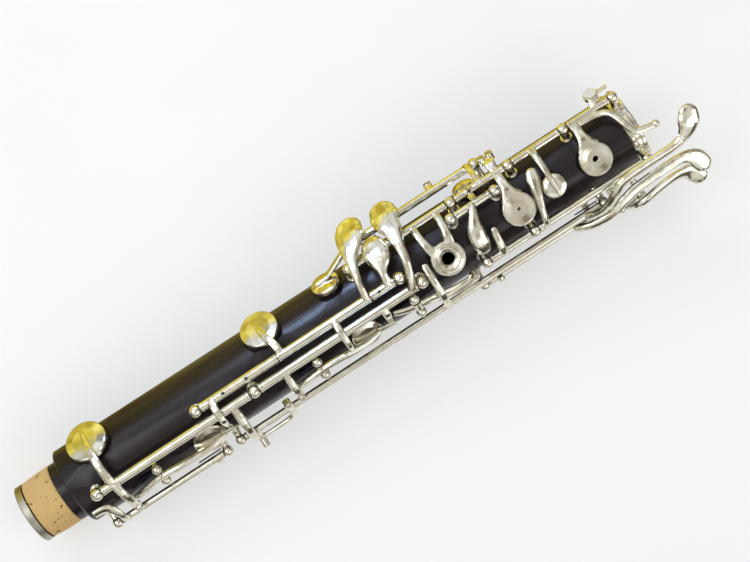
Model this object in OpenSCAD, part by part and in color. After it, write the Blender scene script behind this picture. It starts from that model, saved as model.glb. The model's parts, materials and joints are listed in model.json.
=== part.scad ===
// Lower joint of an oboe, with its key work. Places are cylindrical: x runs
// along the bore from the tenon's tip, phi is the angle round the bore from the
// finger side (+Z) towards -Y, and r is the distance from the bore's axis.

/* [Wooden joint] */
// Length from the tenon's tip to the socket's mouth
joint_len = 250; // [249.5:0.1:250.5]
// Outer radius of the wood at the bell end
body_r_low = 14.2; // [14.1:0.05:14.3]
// Outer radius of the wood at the socket end
body_r_top = 12.9; // [12.8:0.05:13]
// Length of the tenon that enters the bell
tenon_len = 18; // [17.5:0.1:18.5]
// Radius of the corked tenon
tenon_r = 11.3; // [11:0.1:11.6]
// Radius of the socket that takes the upper joint's tenon
socket_r = 8.4; // [8:0.1:9]
// Depth of the socket
socket_depth = 17; // [15:0.5:19]

/* [Key work] */
// Radius of the steel hinge rods
rod_r = 0.95; // [0.8:0.05:1]
// Outer radius of the two main hinge tubes
tube_r = 1.65; // [1.5:0.05:1.7]
// Outer radius of the slimmer hinge tubes
slim_r = 1.4; // [1.3:0.05:1.45]
// Running clearance between rod and tube, on the radius
run_gap = 0.05; // [0.03:0.01:0.08]
// Gap left between a closed pad and its seat
seat_gap = 0.05; // [0.04:0.01:0.08]

/* [Hidden] */
$fn = 40;
ring_len = 5;           // silver ring round the socket
bore_r_low = 7.9;
bore_r_top = 4.6;
mouth_len = 4;          // straight stretch of bore at the tenon's tip
step_len = 3.6;         // bare wood between the shoulder and the cork
cap_len = 2.7;          // metal ring at the tenon's tip
cork_t = 1.6;
fit = 0.03;             // clearance of parts that sit in one another
foot_r = 2.1;
foot_in = 1.2;          // how deep a post's foot is let into the wood
cup_wall = 0.6;
cup_h = 2.8;
pad_h = 1.7;
pad_proud = 0.5;        // how far a pad stands out of its cup
rim_up = 0.9;           // height of the bead round a tone hole above its seat
limb_sides = 14;
limb_steps = 3;          // rings from one station to the next
silver = [0.82, 0.8, 0.76];

// Hinge axes: [phi, r, radius of the tube, radius of the posts' balls]
ax_stack = [-51, 18.3, slim_r, 2.1];
ax_f = [-34, 18.3, slim_r, 2.1];
ax_res = [-80, 19.6, slim_r, 2.1];
ax_a = [-11, 18.6, tube_r, 2.3];
ax_b = [6, 18.6, tube_r, 2.3];
ax_d = [32, 18.3, 1.3, 2];
ax_c = [57, 19, 1.3, 2];
ax_bell = [64, 19.2, 1.3, 2];
ax_lf = [76, 19.4, 1.3, 2];
ax_le = [86, 23.6, 1.3, 2];

// Tone holes: [x, phi, radius of the hole, radius of the pad cup]
low_b_hole = [32.4, -55, 4.6, 7.5];
low_c_hole = [102.8, -54, 4.2, 6.9];
res_hole = [130.4, -60, 2.9, 5.2];
c_sharp_hole = [68.2, 34, 3.6, 6.2];
e_flat_hole = [133, 31, 3.4, 5.6];
d_hole = [170.3, 3, 2.8, 6.1];
f_hole = [188.5, -74, 2.4, 4.4];
e_hole = [199.8, 0, 2.6, 5.9];
vent_hole = [214.2, 0, 1.5, 4.3];
f_sharp_hole = [231, 0, 2.3, 5.9];
HOLES = [low_b_hole, low_c_hole, res_hole, c_sharp_hole, e_flat_hole, d_hole, f_hole,
    e_hole, vent_hole, f_sharp_hole];

// How far each open-standing key is raised at rest, in degrees about its hinge
open_stack = -5;
open_low = 6;
open_res = -7;

// Posts: [x, axis]
STACK_POSTS = [for (x = [139.7, 181.3, 204.8, 227.3]) [x, ax_stack]];
SIDE_POSTS = [[178.2, ax_f], [196, ax_f], [143.4, ax_res], [195.9, ax_res]];
PINKY_POSTS = [[69.8, ax_a], [152.6, ax_a], [26.2, ax_b], [90.2, ax_b], [158.4, ax_b]];
LEVER_POSTS = [[181, ax_d], [200.6, ax_d], [24.6, ax_bell], [70.2, ax_bell], [76.4, ax_c],
    [226.4, ax_c], [176.6, ax_lf], [221, ax_lf], [231.6, ax_le], [240.2, ax_le]];
RING_POSTS = [[247.4, ax_stack], [246.4, ax_d]];
POSTS = concat(STACK_POSTS, SIDE_POSTS, PINKY_POSTS, LEVER_POSTS);

// Rockers turn on short cross hinges: [x, phi]
rock_c_sharp = [47.4, 34];
rock_e_flat = [113.4, 31];
rock_transfer = [152.9, 32];
ROCKERS = [rock_c_sharp, rock_e_flat, rock_transfer];
rock_h = 17.2;          // height of the cross hinge above the bore's axis
rock_half = 3.7;        // half the distance between its two posts
rock_wood = 12.9;       // height of the wood's surface beside it
rock_ball = 1.9;
rock_foot_r = 1.6;
pin_r = 0.6;
hub_half = 1.55;

// Adjusting screws: [x, phi]
E_SCREWS = [198.4, 201.6];
e_screw_phi = -70;
res_screw_at = [178.6, -90];
e_flat_screw_at = [102.4, 40];
low_b_screw_at = [34.6, 48];
transfer_screw_at = [175, 43];
LEFT_B_SCREWS = [[82.4, 74, 20.2, 25], [97, 41, 18.4, 21.2]];    // with the radii of its ends
screw_r = 0.6;
head_r = 0.85;

// Needle springs: [x of the post, axis, direction]
SPRINGS = [[139.7, ax_stack, 1], [204.8, ax_stack, -1], [204.8, ax_stack, 1], [227.3, ax_stack, 1],
    [90.2, ax_b, -1], [90.2, ax_b, 1], [152.6, ax_a, -1], [69.8, ax_a, 1], [143.4, ax_res, 1],
    [200.6, ax_d, 1], [70.2, ax_bell, -1], [226.4, ax_c, -1], [221, ax_lf, -1]];
spring_len = 9;
spring_start = 1.7;

d_ring_r = 2.2;         // open middle of the ring key
plate_vent_r = 1.1;     // hole through the F sharp plate
e_vent_r = 0.6;         // hole through the E plate

thumb_x = 176;
THUMB_SCREWS = [thumb_x - 8, thumb_x + 8];
PIN_PLACES = [81.2, 90.6, 144.4];
FLAT_SPRINGS = [for (k = ROCKERS) [k[0] - 3.4, k[1]]];

// ---------- places ----------

function body_r(x) = body_r_low
    + (body_r_top - body_r_low) * (x - tenon_len) / (joint_len - tenon_len);
function seat_r(x) = body_r(x) - rim_up;
function pad_rest(x) = body_r(x) + seat_gap;
function place(x, phi, r) = [x, -r * sin(phi), r * cos(phi)];
function unit(v) = v / norm(v);

// Local Z points out of the bore's axis, local X runs along it
module at(x, phi, r) translate(place(x, phi, r)) rotate([phi, 0, 0]) children();
module along(ax, x0, x1, r) at(x0, ax[0], ax[1]) rotate([0, 90, 0]) cylinder(h = x1 - x0, r = r);
module round_bore(x) at(x, 0, 0) rotate([0, 90, 0]) children();

// Turns its children about a hinge axis, as that key turns
module swing(ax, angle) {
    p = place(0, ax[0], ax[1]);
    translate(p) rotate([angle, 0, 0]) translate(-p) children();
}

// ---------- swept limbs ----------

// Each station is [x, phi, r, width, thickness]; lean tips the broad face back
// towards the finger side, in degrees; dome raises its middle, as a share of the width
function between(a, b, c, d, t) = 0.5 * (2 * b + (c - a) * t
    + (2 * a - 5 * b + 4 * c - d) * t * t + (3 * b - a - 3 * c + d) * t * t * t);
function flow(s, n) = [
    for (i = [0 : len(s) - 2]) for (k = [0 : n - 1])
        between(s[max(i - 1, 0)], s[i], s[i + 1], s[min(i + 2, len(s) - 1)], k / n),
    s[len(s) - 1]];
function frames(s, lean) = [for (i = [0 : len(s) - 1])
    let (a = s[max(i - 1, 0)],
        b = s[min(i + 1, len(s) - 1)],
        t = unit(place(b[0], b[1], b[2]) - place(a[0], a[1], a[2])),
        out = [0, -sin(s[i][1] - lean), cos(s[i][1] - lean)],
        n = unit(out - (out * t) * t))
    [place(s[i][0], s[i][1], s[i][2]), cross(t, n), n, s[i][3], s[i][4], t]];

// Rings that close the far end in a half round
function cap(f) = [for (b = [22 : 22 : 88])
    [f[0] + f[5] * f[3] / 2 * sin(b), f[1], f[2],
        f[3] * max(cos(b), 0.08), f[4] * max(pow(cos(b), 0.5), 0.35), f[5]]];
function bend(v) = sign(v) * pow(abs(v), 0.8);
function outline(f, n, dome) = [for (k = [0 : n - 1])
    let (across = cos(360 * k / n), high = sin(360 * k / n))
    f[0] + f[1] * f[3] / 2 * bend(across) + f[2] * (f[4] / 2 * bend(high) + dome * f[3] * max(high, 0))];

module limb(stations, far_round = false, lean = 0, dome = 0) {
    n = limb_sides;
    f = frames(flow(stations, limb_steps), lean);
    rings = concat(f, far_round ? cap(f[len(f) - 1]) : []);
    m = len(rings);
    polyhedron(
        points = [for (g = rings) each outline(g, n, dome)],
        faces = concat(
            [[for (k = [n - 1 : -1 : 0]) k]],
            [for (i = [0 : m - 2]) for (k = [0 : n - 1])
                [i * n + k, i * n + (k + 1) % n, (i + 1) * n + k]],
            [for (i = [0 : m - 2]) for (k = [0 : n - 1])
                [i * n + (k + 1) % n, (i + 1) * n + (k + 1) % n, (i + 1) * n + k]],
            [[for (k = [0 : n - 1]) (m - 1) * n + k]]));
}

// ---------- shared pieces ----------

// Hinge tube with a small collar at each end
module tube(ax, x0, x1) {
    collar = 0.8;
    along(ax, x0, x1, ax[2]);
    along(ax, x0, x0 + collar, ax[2] + 0.15);
    along(ax, x1 - collar, x1, ax[2] + 0.15);
}
module tube_bore(ax, x0, x1) along(ax, x0 - 1, x1 + 1, rod_r + run_gap);

// Where a tube ends beside a post's ball
function post_gap(ax) = sqrt(ax[3] * ax[3] - pow(rod_r + run_gap, 2)) + 0.1;
function after(x, ax) = x + post_gap(ax);
function before(x, ax) = x - post_gap(ax);

// Pad cup: a shallow dome; finger plate: the same with a dished top
module cup(h) at(h[0], h[1], pad_rest(h[0])) rotate_extrude() polygon([
    [0, pad_proud], [h[3], pad_proud], [h[3], cup_h - 0.9], [h[3] - 0.3, cup_h - 0.5],
    [h[3] * 0.6, cup_h], [0, cup_h + 0.2]]);
module plate(h) at(h[0], h[1], pad_rest(h[0])) rotate_extrude() polygon([
    [0, pad_proud], [h[3], pad_proud], [h[3], cup_h - 0.3], [h[3] - 0.3, cup_h],
    [h[3] - 0.8, cup_h], [h[3] * 0.5, cup_h - 0.4], [0, cup_h - 0.5]]);
module pad_room(h) at(h[0], h[1], pad_rest(h[0]) - 2) cylinder(h = pad_h + 2 + fit, r = h[3] - cup_wall);
module pad(h) color("ivory") at(h[0], h[1], pad_rest(h[0])) cylinder(h = pad_h, r = h[3] - cup_wall - fit);
module bore_through(h, r) at(h[0], h[1], pad_rest(h[0]) - 3) cylinder(h = 9, r = r);

// Post: foot let into the wood, waisted stem and drilled ball
module post(x, ax, root = 0) difference() {
    union() {
        if (root == 0) at(x, ax[0], body_r(x) - foot_in + fit) cylinder(h = foot_in + 0.6, r = foot_r);
        at(x, ax[0], body_r(x) + 0.3) cylinder(h = ax[1] - body_r(x) - 0.3, r1 = 1.6, r2 = 1.2);
        at(x, ax[0], ax[1]) rotate([0, -90, 0]) sphere(r = ax[3]);
    }
    along(ax, x - 5, x + 5, rod_r + run_gap);
}
module posts(list) color(silver) for (p = list) post(p[0], p[1]);

// Steel hinge rod with a screw slot in its end
module hinge_rod(ax, x0, x1) color("silver") difference() {
    along(ax, x0, x1, rod_r);
    at(x1, ax[0], ax[1]) cube([1.2, 0.4, 4], center = true);
}

// Adjusting screw along the joint's radius, with its tip at r0 and its head at r1
module radial_screw(x, phi, r0, r1) color("silver") difference() {
    union() {
        at(x, phi, r0) cylinder(h = r1 - r0, r = screw_r);
        at(x, phi, r1 - 0.5) cylinder(h = 0.6, r = head_r);
    }
    at(x, phi, r1 + 0.1) cube([3, 0.35, 0.6], center = true);
}
module screw_barrel(x, phi, r0, r1) at(x, phi, r0) cylinder(h = r1 - r0, r = 1.45);
module screw_hole(x, phi, r0, r1) {
    at(x, phi, r0 - 1) cylinder(h = r1 - r0 + 2, r = screw_r + fit);
    at(x, phi, r1 - 0.6) cylinder(h = 3, r = head_r + fit);
}

// ---------- wood, cork and rings ----------

module wood_body() color([0.09, 0.06, 0.07]) difference() {
    union() {
        difference() {
            round_bore(0) rotate_extrude() polygon([
                [0, 0], [tenon_r - cork_t - fit, 0], [tenon_r - cork_t - fit, tenon_len - step_len],
                [tenon_r - 0.1, tenon_len - step_len], [tenon_r - 0.1, tenon_len],
                [body_r_low - 0.6, tenon_len], [body_r_low, tenon_len + 0.6],
                [body_r(joint_len - ring_len), joint_len - ring_len],
                [body_r_top - 0.9 - fit, joint_len - ring_len],
                [body_r_top - 0.9 - fit, joint_len - fit], [0, joint_len - fit]]);
            for (h = HOLES) at(h[0], h[1], seat_r(h[0])) cylinder(h = 9, r = h[3] + 0.5);
        }
        for (h = HOLES) at(h[0], h[1], seat_r(h[0]) - 2) cylinder(h = 2 + rim_up, r = h[2] + 1.1);
    }
    for (h = HOLES) at(h[0], h[1], 0) cylinder(h = 20, r = h[2]);
    round_bore(-1) cylinder(h = mouth_len + 1, r = bore_r_low);
    round_bore(mouth_len - 0.01)
        cylinder(h = joint_len - socket_depth - mouth_len + 1, r1 = bore_r_low, r2 = bore_r_top);
    round_bore(joint_len - socket_depth) cylinder(h = socket_depth + 1, r = socket_r);
    for (p = POSTS) at(p[0], p[1][0], body_r(p[0]) - foot_in) cylinder(h = 4, r = foot_r + fit);
    for (k = ROCKERS) for (side = [-1, 1]) rocker_side(k, side, rock_wood - foot_in)
        cylinder(h = 4, r = rock_foot_r + fit);
    for (s = THUMB_SCREWS) at(s, 180, body_r(s) - 5) cylinder(h = 8, r = 0.95);
    thumb_bed() cube([22, 9, 5], center = true);
    for (s = FLAT_SPRINGS) at(s[0], s[1], body_r(s[0]) - 3.2) cylinder(h = 6, r = 0.6 + fit);
}
module tenon_cork() color([0.78, 0.6, 0.38]) round_bore(cap_len + 0.2) difference() {
    cylinder(h = tenon_len - step_len - cap_len - 0.25, r = tenon_r);
    translate([0, 0, -1]) cylinder(h = tenon_len, r = tenon_r - cork_t);
}
module tenon_ring() color(silver) rotate([0, 90, 0]) rotate_extrude() polygon([
    [tenon_r - cork_t, 0], [tenon_r - 0.8, 0], [tenon_r - 0.4, 0.4], [tenon_r - 0.4, cap_len],
    [tenon_r - cork_t, cap_len]]);
module socket_ring() color(silver) {
    round_bore(joint_len - ring_len + fit) rotate_extrude() polygon([
        [body_r_top - 0.9, 0], [body_r_top + 0.3, 0], [body_r_top + 0.8, 0.6],
        [body_r_top + 0.8, 1.5], [body_r_top + 0.4, 2], [body_r_top + 0.4, 3.4],
        [body_r_top + 0.9, 3.8], [body_r_top + 0.9, 4.6], [body_r_top + 0.6, ring_len - fit],
        [body_r_top - 0.9, ring_len - fit]]);
    for (p = RING_POSTS) post(p[0], p[1], 1);
}

// Thumb rest: a let-in plate with a curved hook, on the back of the joint
module thumb_bed() at(thumb_x, 180, body_r(thumb_x) + 2) children();
module thumb_rest() color(silver) difference() {
    union() {
        at(thumb_x, 180, body_r(thumb_x) - 0.5 + fit) translate([-10.9, -4.4, 0]) cube([21.8, 8.8, 1.3]);
        limb([[thumb_x + 1, 180, 13.6, 8, 1.6], [thumb_x + 3, 180, 16.6, 8, 1.6],
            [thumb_x + 6.5, 180, 19, 8.6, 1.5], [thumb_x + 11, 180, 20, 8.8, 1.4]]);
    }
    for (s = THUMB_SCREWS) at(s, 180, body_r(s) - 1) cylinder(h = 12, r = 0.95);
    for (s = THUMB_SCREWS) at(s, 180, body_r(s) + 0.3) cylinder(h = 3, r = 1.7);
}
module thumb_rest_screws() color("silver") for (s = THUMB_SCREWS) difference() {
    union() {
        at(s, 180, body_r(s) - 4.8) cylinder(h = 5.2, r = 0.9);
        at(s, 180, body_r(s) + 0.33) cylinder(h = 0.5, r = 1.6);
    }
    at(s, 180, body_r(s) + 0.9) cube([4, 0.4, 0.7], center = true);
}

// ---------- posts, rods and springs ----------

// A place beside a rocker, at height h above the bore's axis
module rocker_side(k, side, h) at(k[0], k[1], 0) translate([0, side * rock_half, h]) children();
module rocker_posts() color(silver) for (k = ROCKERS) for (side = [-1, 1]) difference() {
    union() {
        rocker_side(k, side, rock_wood - foot_in + fit)
            cylinder(h = rock_h - rock_wood + 1, r1 = rock_foot_r, r2 = 1.1);
        rocker_side(k, side, rock_h) sphere(r = rock_ball);
    }
    rocker_side(k, side, rock_h) rotate([90, 0, 0]) cylinder(h = 6, r = pin_r + run_gap, center = true);
}
module rocker_hinge_screws() color("silver") for (k = ROCKERS) at(k[0], k[1], rock_h)
    rotate([90, 0, 0]) cylinder(h = 2 * (rock_half + rock_ball) - 0.4, r = pin_r, center = true);
module stack_hinge_rod() hinge_rod(ax_stack, 138, 249.2);
module side_hinge_rods() {
    hinge_rod(ax_f, 176.4, 197.8);
    hinge_rod(ax_res, 141.6, 197.7);
}
module pinky_hinge_rod() hinge_rod(ax_b, 24.2, 160.4);
module lever_hinge_rods() {
    hinge_rod(ax_d, 179.2, 248.2);
    hinge_rod(ax_bell, 22.9, 71.9);
    hinge_rod(ax_c, 74.8, 228.1);
    hinge_rod(ax_lf, 174.9, 222.7);
    hinge_rod(ax_le, 229.9, 241.9);
}
module needle_springs() color([0.25, 0.3, 0.42]) for (s = SPRINGS) {
    start = s[0] + (s[2] > 0 ? spring_start : -spring_start - spring_len);
    along([s[1][0], s[1][1] - s[1][2] - 0.75], start, start + spring_len, 0.25);
}
module rocker_springs() color([0.25, 0.3, 0.42]) for (s = FLAT_SPRINGS) {
    at(s[0], s[1], body_r(s[0]) - 3) cylinder(h = 3.7, r = 0.6);
    at(s[0], s[1], body_r(s[0]) + 0.75) translate([-4.5, -1, -0.15]) cube([6, 2, 0.3]);
}

// ---------- finger keys ----------

// Arm from the stack's hinge to the edge of a plate
module plate_arm(x, phi) limb([[x, -50, 18.2, 3.6, 2.3], [x, -38, 17.9, 3.4, 1.8],
    [x, -26, 16.9, 4.8, 1.5], [x, phi, 15.8, 8.6, 1.3]]);

module f_sharp_key() color(silver) difference() {
    union() {
        tube(ax_stack, after(227.3, ax_stack), before(247.4, ax_stack));
        swing(ax_stack, open_stack) {
            plate(f_sharp_hole);
            plate_arm(231, -17);
        }
        limb([[232.6, -46, 18, 2.6, 2.2], [239, -44, 18, 2.6, 2.2], [243.2, -36, 18.3, 2.6, 2.2],
            [245.4, -18, 18.4, 2.6, 2.1], [247.6, -4, 18.2, 2.6, 2], [254, 1, 17.9, 2.2, 1.9]]);
        at(254.6, 1, 17.9) sphere(r = 1.4);
        limb([[240.4, -53, 18.8, 3, 2], [241, -59, 20.3, 3.4, 1.8]]);
        at(241.6, -62, 20) cylinder(h = 1.6, r = 2.7);
        along([-62, 20.7], 243.6, 247.8, 0.65);
    }
    tube_bore(ax_stack, after(227.3, ax_stack), before(247.4, ax_stack));
    swing(ax_stack, open_stack) {
        pad_room(f_sharp_hole);
        bore_through(f_sharp_hole, plate_vent_r);
    }
}
module f_sharp_pad() swing(ax_stack, open_stack) difference() {
    pad(f_sharp_hole);
    bore_through(f_sharp_hole, plate_vent_r);
}
module bridge_cork() color([0.9, 0.86, 0.78]) at(241.6, -62, 21.6 + fit) cylinder(h = 0.8, r = 2.4);

module vent_key() color(silver) difference() {
    union() {
        tube(ax_stack, after(204.8, ax_stack), before(227.3, ax_stack));
        swing(ax_stack, open_stack) {
            cup(vent_hole);
            limb([[214.2, -52, 18.6, 3, 2.4], [214.2, -36, 18.2, 2.6, 2], [214.2, -20, 17.2, 2.3, 1.7],
                [214.2, -4, 16.2, 1.8, 1.4], [214.2, 12, 16, 1.1, 1.1]], far_round = true);
        }
    }
    tube_bore(ax_stack, after(204.8, ax_stack), before(227.3, ax_stack));
    swing(ax_stack, open_stack) pad_room(vent_hole);
}
module vent_pad() swing(ax_stack, open_stack) pad(vent_hole);

module e_key() color(silver) difference() {
    union() {
        tube(ax_stack, after(181.3, ax_stack), before(204.8, ax_stack));
        swing(ax_stack, open_stack) {
            plate(e_hole);
            plate_arm(e_hole[0], -17);
        }
        limb([[200, -53, 18.8, 3.4, 2], [200, -61, 20.3, 4, 1.7], [200, -69, 20.8, 5.4, 1.5]]);
        for (x = E_SCREWS) screw_barrel(x, e_screw_phi, 19.6, 22.2);
        limb([[188.6, -50, 19, 2.4, 2], [189.2, -46, 22, 2.2, 1.7], [190.8, -43, 24, 2.2, 1.5],
            [193.8, -43, 24.2, 2.2, 1.3]]);
    }
    tube_bore(ax_stack, after(181.3, ax_stack), before(204.8, ax_stack));
    for (x = E_SCREWS) screw_hole(x, e_screw_phi, 19.6, 22.2);
    swing(ax_stack, open_stack) {
        pad_room(e_hole);
        bore_through(e_hole, e_vent_r);
    }
}
module e_pad() swing(ax_stack, open_stack) difference() {
    pad(e_hole);
    bore_through(e_hole, e_vent_r);
}
module e_key_screws() for (x = E_SCREWS) radial_screw(x, e_screw_phi, 19.2, 22.2);

// Ring plate: the plate's shell with a raised ring round an open middle
module ring_plate(h) at(h[0], h[1], pad_rest(h[0])) rotate_extrude() polygon([
    [h[3], pad_proud], [h[3], cup_h - 0.3], [h[3] - 0.3, cup_h], [h[3] - 0.8, cup_h],
    [h[3] - 1.6, cup_h - 0.45], [4.1, cup_h - 0.45], [3.9, cup_h + 0.3], [3.4, cup_h + 0.45],
    [d_ring_r + 0.4, cup_h], [d_ring_r, cup_h - 0.5], [d_ring_r, pad_proud],
    [d_ring_r + 0.5, pad_proud], [d_ring_r + 0.5, pad_h + fit], [h[3] - cup_wall, pad_h + fit],
    [h[3] - cup_wall, pad_proud]]);
module d_ring_key() color(silver) difference() {
    union() {
        tube(ax_stack, after(139.7, ax_stack), before(181.3, ax_stack));
        swing(ax_stack, open_stack) {
            ring_plate(d_hole);
            for (side = [-1, 1]) limb([[d_hole[0] + side * 4.6, -50, 18.2, 3, 2.2],
                [d_hole[0] + side * 4.6, -37, 18, 2.6, 1.8], [d_hole[0] + side * 4.2, -25, 17.5, 3, 1.6],
                [d_hole[0] + side * 3.2, -12, 16.4, 3.6, 1]]);
        }
    }
    tube_bore(ax_stack, after(139.7, ax_stack), before(181.3, ax_stack));
}
module d_pad() swing(ax_stack, open_stack) difference() {
    pad(d_hole);
    bore_through(d_hole, d_ring_r + 0.5 + fit);
}

module f_key() color(silver) difference() {
    union() {
        tube(ax_f, after(178.2, ax_f), before(196, ax_f));
        cup(f_hole);
        limb([[186.6, -34, 18.8, 3, 2.2], [186, -27, 19.2, 2.8, 1.9], [184.2, -16, 19, 4.6, 1.5],
            [182.8, -4, 18.5, 6.4, 1.3], [182.6, 8, 17.9, 6.2, 1.2], [182.6, 14, 17.6, 4.8, 1.1]],
            far_round = true, dome = 0.12);
        limb([[189, -35, 17.3, 2.4, 1.6], [188.8, -45, 15.3, 2.4, 1.2], [188.6, -57, 15.1, 2.8, 1.2]]);
    }
    tube_bore(ax_f, after(178.2, ax_f), before(196, ax_f));
    pad_room(f_hole);
}
module f_pad() pad(f_hole);

module f_resonance_key() color(silver) difference() {
    union() {
        tube(ax_res, after(143.4, ax_res), before(195.9, ax_res));
        swing(ax_res, open_res) {
            cup(res_hole);
            limb([[148.6, -78, 20, 2.6, 2.2], [146.6, -69, 20.8, 2.4, 2], [141.2, -66, 20.5, 2.6, 1.9],
                [136.6, -63, 18.9, 2.6, 1.7], [131.8, -61, 17.2, 2.4, 1.4], [127.4, -60, 17.1, 1.4, 1.1]]);
        }
        limb([[192.6, -79, 20.2, 2.2, 2.2], [192.8, -70, 22.2, 2.2, 1.8], [193, -58, 22.8, 2.2, 1.5],
            [193, -44, 22.4, 2, 1.3]]);
        limb([[178.6, -82, 20, 2.8, 2], [178.6, -88, 20.8, 3, 1.8]]);
        screw_barrel(res_screw_at[0], res_screw_at[1], 19.4, 22);
    }
    tube_bore(ax_res, after(143.4, ax_res), before(195.9, ax_res));
    screw_hole(res_screw_at[0], res_screw_at[1], 19.4, 22);
    swing(ax_res, open_res) pad_room(res_hole);
}
module f_resonance_pad() swing(ax_res, open_res) pad(res_hole);
module f_resonance_screw() radial_screw(res_screw_at[0], res_screw_at[1], 19, 22);

// ---------- little-finger keys ----------

module low_c_key() color(silver) difference() {
    union() {
        tube(ax_a, 103.3, 140.6);
        swing(ax_a, open_low) {
            cup(low_c_hole);
            limb([[105.3, -12, 18.9, 3.2, 2.2], [104.7, -24, 18.7, 3.1, 1.9], [103.4, -38, 17.9, 2.8, 1.8],
                [102.8, -54, 17, 2, 1.6], [102.8, -71, 17.3, 0.8, 1.1]]);
        }
        limb([[139.4, -12, 19, 3, 2.4], [139.9, -23, 20.8, 2.8, 2.1], [140.9, -35, 22.1, 3, 1.8],
            [142, -46, 23, 4.2, 1.4], [143.4, -54, 23.8, 6.6, 1.2], [144.8, -61, 24.6, 9.2, 1.1],
            [146.2, -68, 25.4, 10.6, 1.1], [147.2, -73, 26, 10, 1.1]], far_round = true, dome = 0.15);
        limb([[126, -11, 19.2, 2.6, 2.8], [126, -1, 21, 2.8, 1.9], [126, 9, 21.4, 2.4, 1.7],
            [126, 19, 20.9, 2, 1.6], [126, 27, 19.9, 1.6, 1.4]]);
    }
    tube_bore(ax_a, 103.3, 140.6);
    swing(ax_a, open_low) pad_room(low_c_hole);
}
module low_c_pad() swing(ax_a, open_low) pad(low_c_hole);

module pin_hole(x, r) at(x, ax_a[0], ax_a[1] - 3) cylinder(h = 6, r = r);
module c_sharp_touch() color(silver) difference() {
    union() {
        tube(ax_a, 141.3, before(152.6, ax_a));
        limb([[148.2, -12, 19, 3.2, 2.4], [148.6, -20, 20.4, 3, 2], [149.2, -26.5, 21, 4, 1.6],
            [149.9, -32, 21.3, 6.8, 1.3], [150.4, -37.5, 21.6, 9, 1.2], [150.7, -43, 21.8, 9.8, 1.1],
            [150.9, -47.5, 22, 9.2, 1.1]],
            far_round = true, dome = 0.15);
    }
    tube_bore(ax_a, 141.3, before(152.6, ax_a));
    pin_hole(PIN_PLACES[2], 0.55 + fit);
}
module c_sharp_arm() color(silver) difference() {
    union() {
        tube(ax_a, after(69.8, ax_a), 103);
        limb([[76.2, -11, 19.2, 2.8, 2.8], [76.2, -1, 21.2, 3, 1.9], [76.2, 9, 21.6, 2.6, 1.7],
            [76.2, 18, 19.8, 2.2, 1.7], [76.2, 25, 17.4, 1.8, 1.5], [76.2, 31, 15.8, 1.7, 1.2],
            [76.2, 38, 15.3, 1.8, 1.1]]);
    }
    tube_bore(ax_a, after(69.8, ax_a), 103);
    for (k = [0, 1]) pin_hole(PIN_PLACES[k], 0.55 + fit);
}
module c_sharp_core_rod() difference() {
    hinge_rod(ax_a, 67.7, 154.6);
    for (x = PIN_PLACES) pin_hole(x, 0.55 + fit);
}
module c_sharp_pins() color([0.3, 0.28, 0.26]) for (x = PIN_PLACES)
    at(x, ax_a[0], ax_a[1] - 1.4) cylinder(h = 2.7, r = 0.55);

module e_flat_touch() color(silver) difference() {
    union() {
        tube(ax_b, after(90.2, ax_b), before(158.4, ax_b));
        limb([[154.2, 5, 19.2, 3.2, 2.4], [156, -7, 20.8, 2.8, 2.1], [157.6, -20, 22.2, 3, 1.9],
            [158.6, -33, 23, 3.6, 1.6], [159.2, -43, 23.4, 5, 1.3], [159.5, -51, 23.8, 7.2, 1.1],
            [159.4, -58, 24.2, 9.4, 1.1], [159.8, -65, 24.9, 10.4, 1.1], [160, -68.5, 25.3, 9.8, 1.1]],
            far_round = true, dome = 0.15);
        limb([[142.4, 7, 19.2, 3, 2.4], [142.4, 16, 19, 2.8, 1.8], [142.4, 24, 17.2, 2.2, 1.5],
            [142.3, 30, 15.6, 1.9, 1.2], [142.2, 37, 15.3, 1.9, 1.1]]);
        limb([[102.4, 7, 19.2, 2.8, 2.4], [102.4, 18, 20.4, 2.8, 1.8], [102.4, 30, 20.8, 2.8, 1.6],
            [102.4, 38, 20.6, 2.8, 1.5]]);
        screw_barrel(e_flat_screw_at[0], e_flat_screw_at[1], 19.2, 22);
    }
    tube_bore(ax_b, after(90.2, ax_b), before(158.4, ax_b));
    screw_hole(e_flat_screw_at[0], e_flat_screw_at[1], 19.2, 22);
}
module e_flat_screw() radial_screw(e_flat_screw_at[0], e_flat_screw_at[1], 18.8, 22);

module low_b_key() color(silver) difference() {
    union() {
        tube(ax_b, after(26.2, ax_b), before(90.2, ax_b));
        swing(ax_b, open_low) {
            cup(low_b_hole);
            limb([[32.8, 5, 19, 3.6, 2.3], [32.6, -8, 19.4, 3.4, 2], [32.4, -24, 19, 3.1, 1.9],
                [32.4, -38, 18.2, 2.8, 1.8], [32.4, -54, 17.2, 2, 1.6], [32.4, -72, 17.6, 0.8, 1.1]]);
        }
        limb([[33.2, 7, 19.2, 3.4, 2.4], [33.8, 20, 20, 3.1, 1.9], [34.4, 34, 20, 2.8, 1.7],
            [34.6, 46, 19.8, 3, 1.6]]);
        screw_barrel(low_b_screw_at[0], low_b_screw_at[1], 18.4, 21.4);
        limb([[81.4, 7, 19.2, 3, 2.4], [81.4, 20, 20.8, 3.2, 1.9], [81.4, 38, 21.8, 2.8, 1.7],
            [81.4, 52, 22, 2.6, 1.6], [81.4, 64, 21.6, 2.4, 1.4]]);
    }
    tube_bore(ax_b, after(26.2, ax_b), before(90.2, ax_b));
    screw_hole(low_b_screw_at[0], low_b_screw_at[1], 18.4, 21.4);
    swing(ax_b, open_low) pad_room(low_b_hole);
}
module low_b_pad() swing(ax_b, open_low) pad(low_b_hole);
module low_b_screw() radial_screw(low_b_screw_at[0], low_b_screw_at[1], 18, 21.4);

// ---------- rockers ----------

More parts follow.
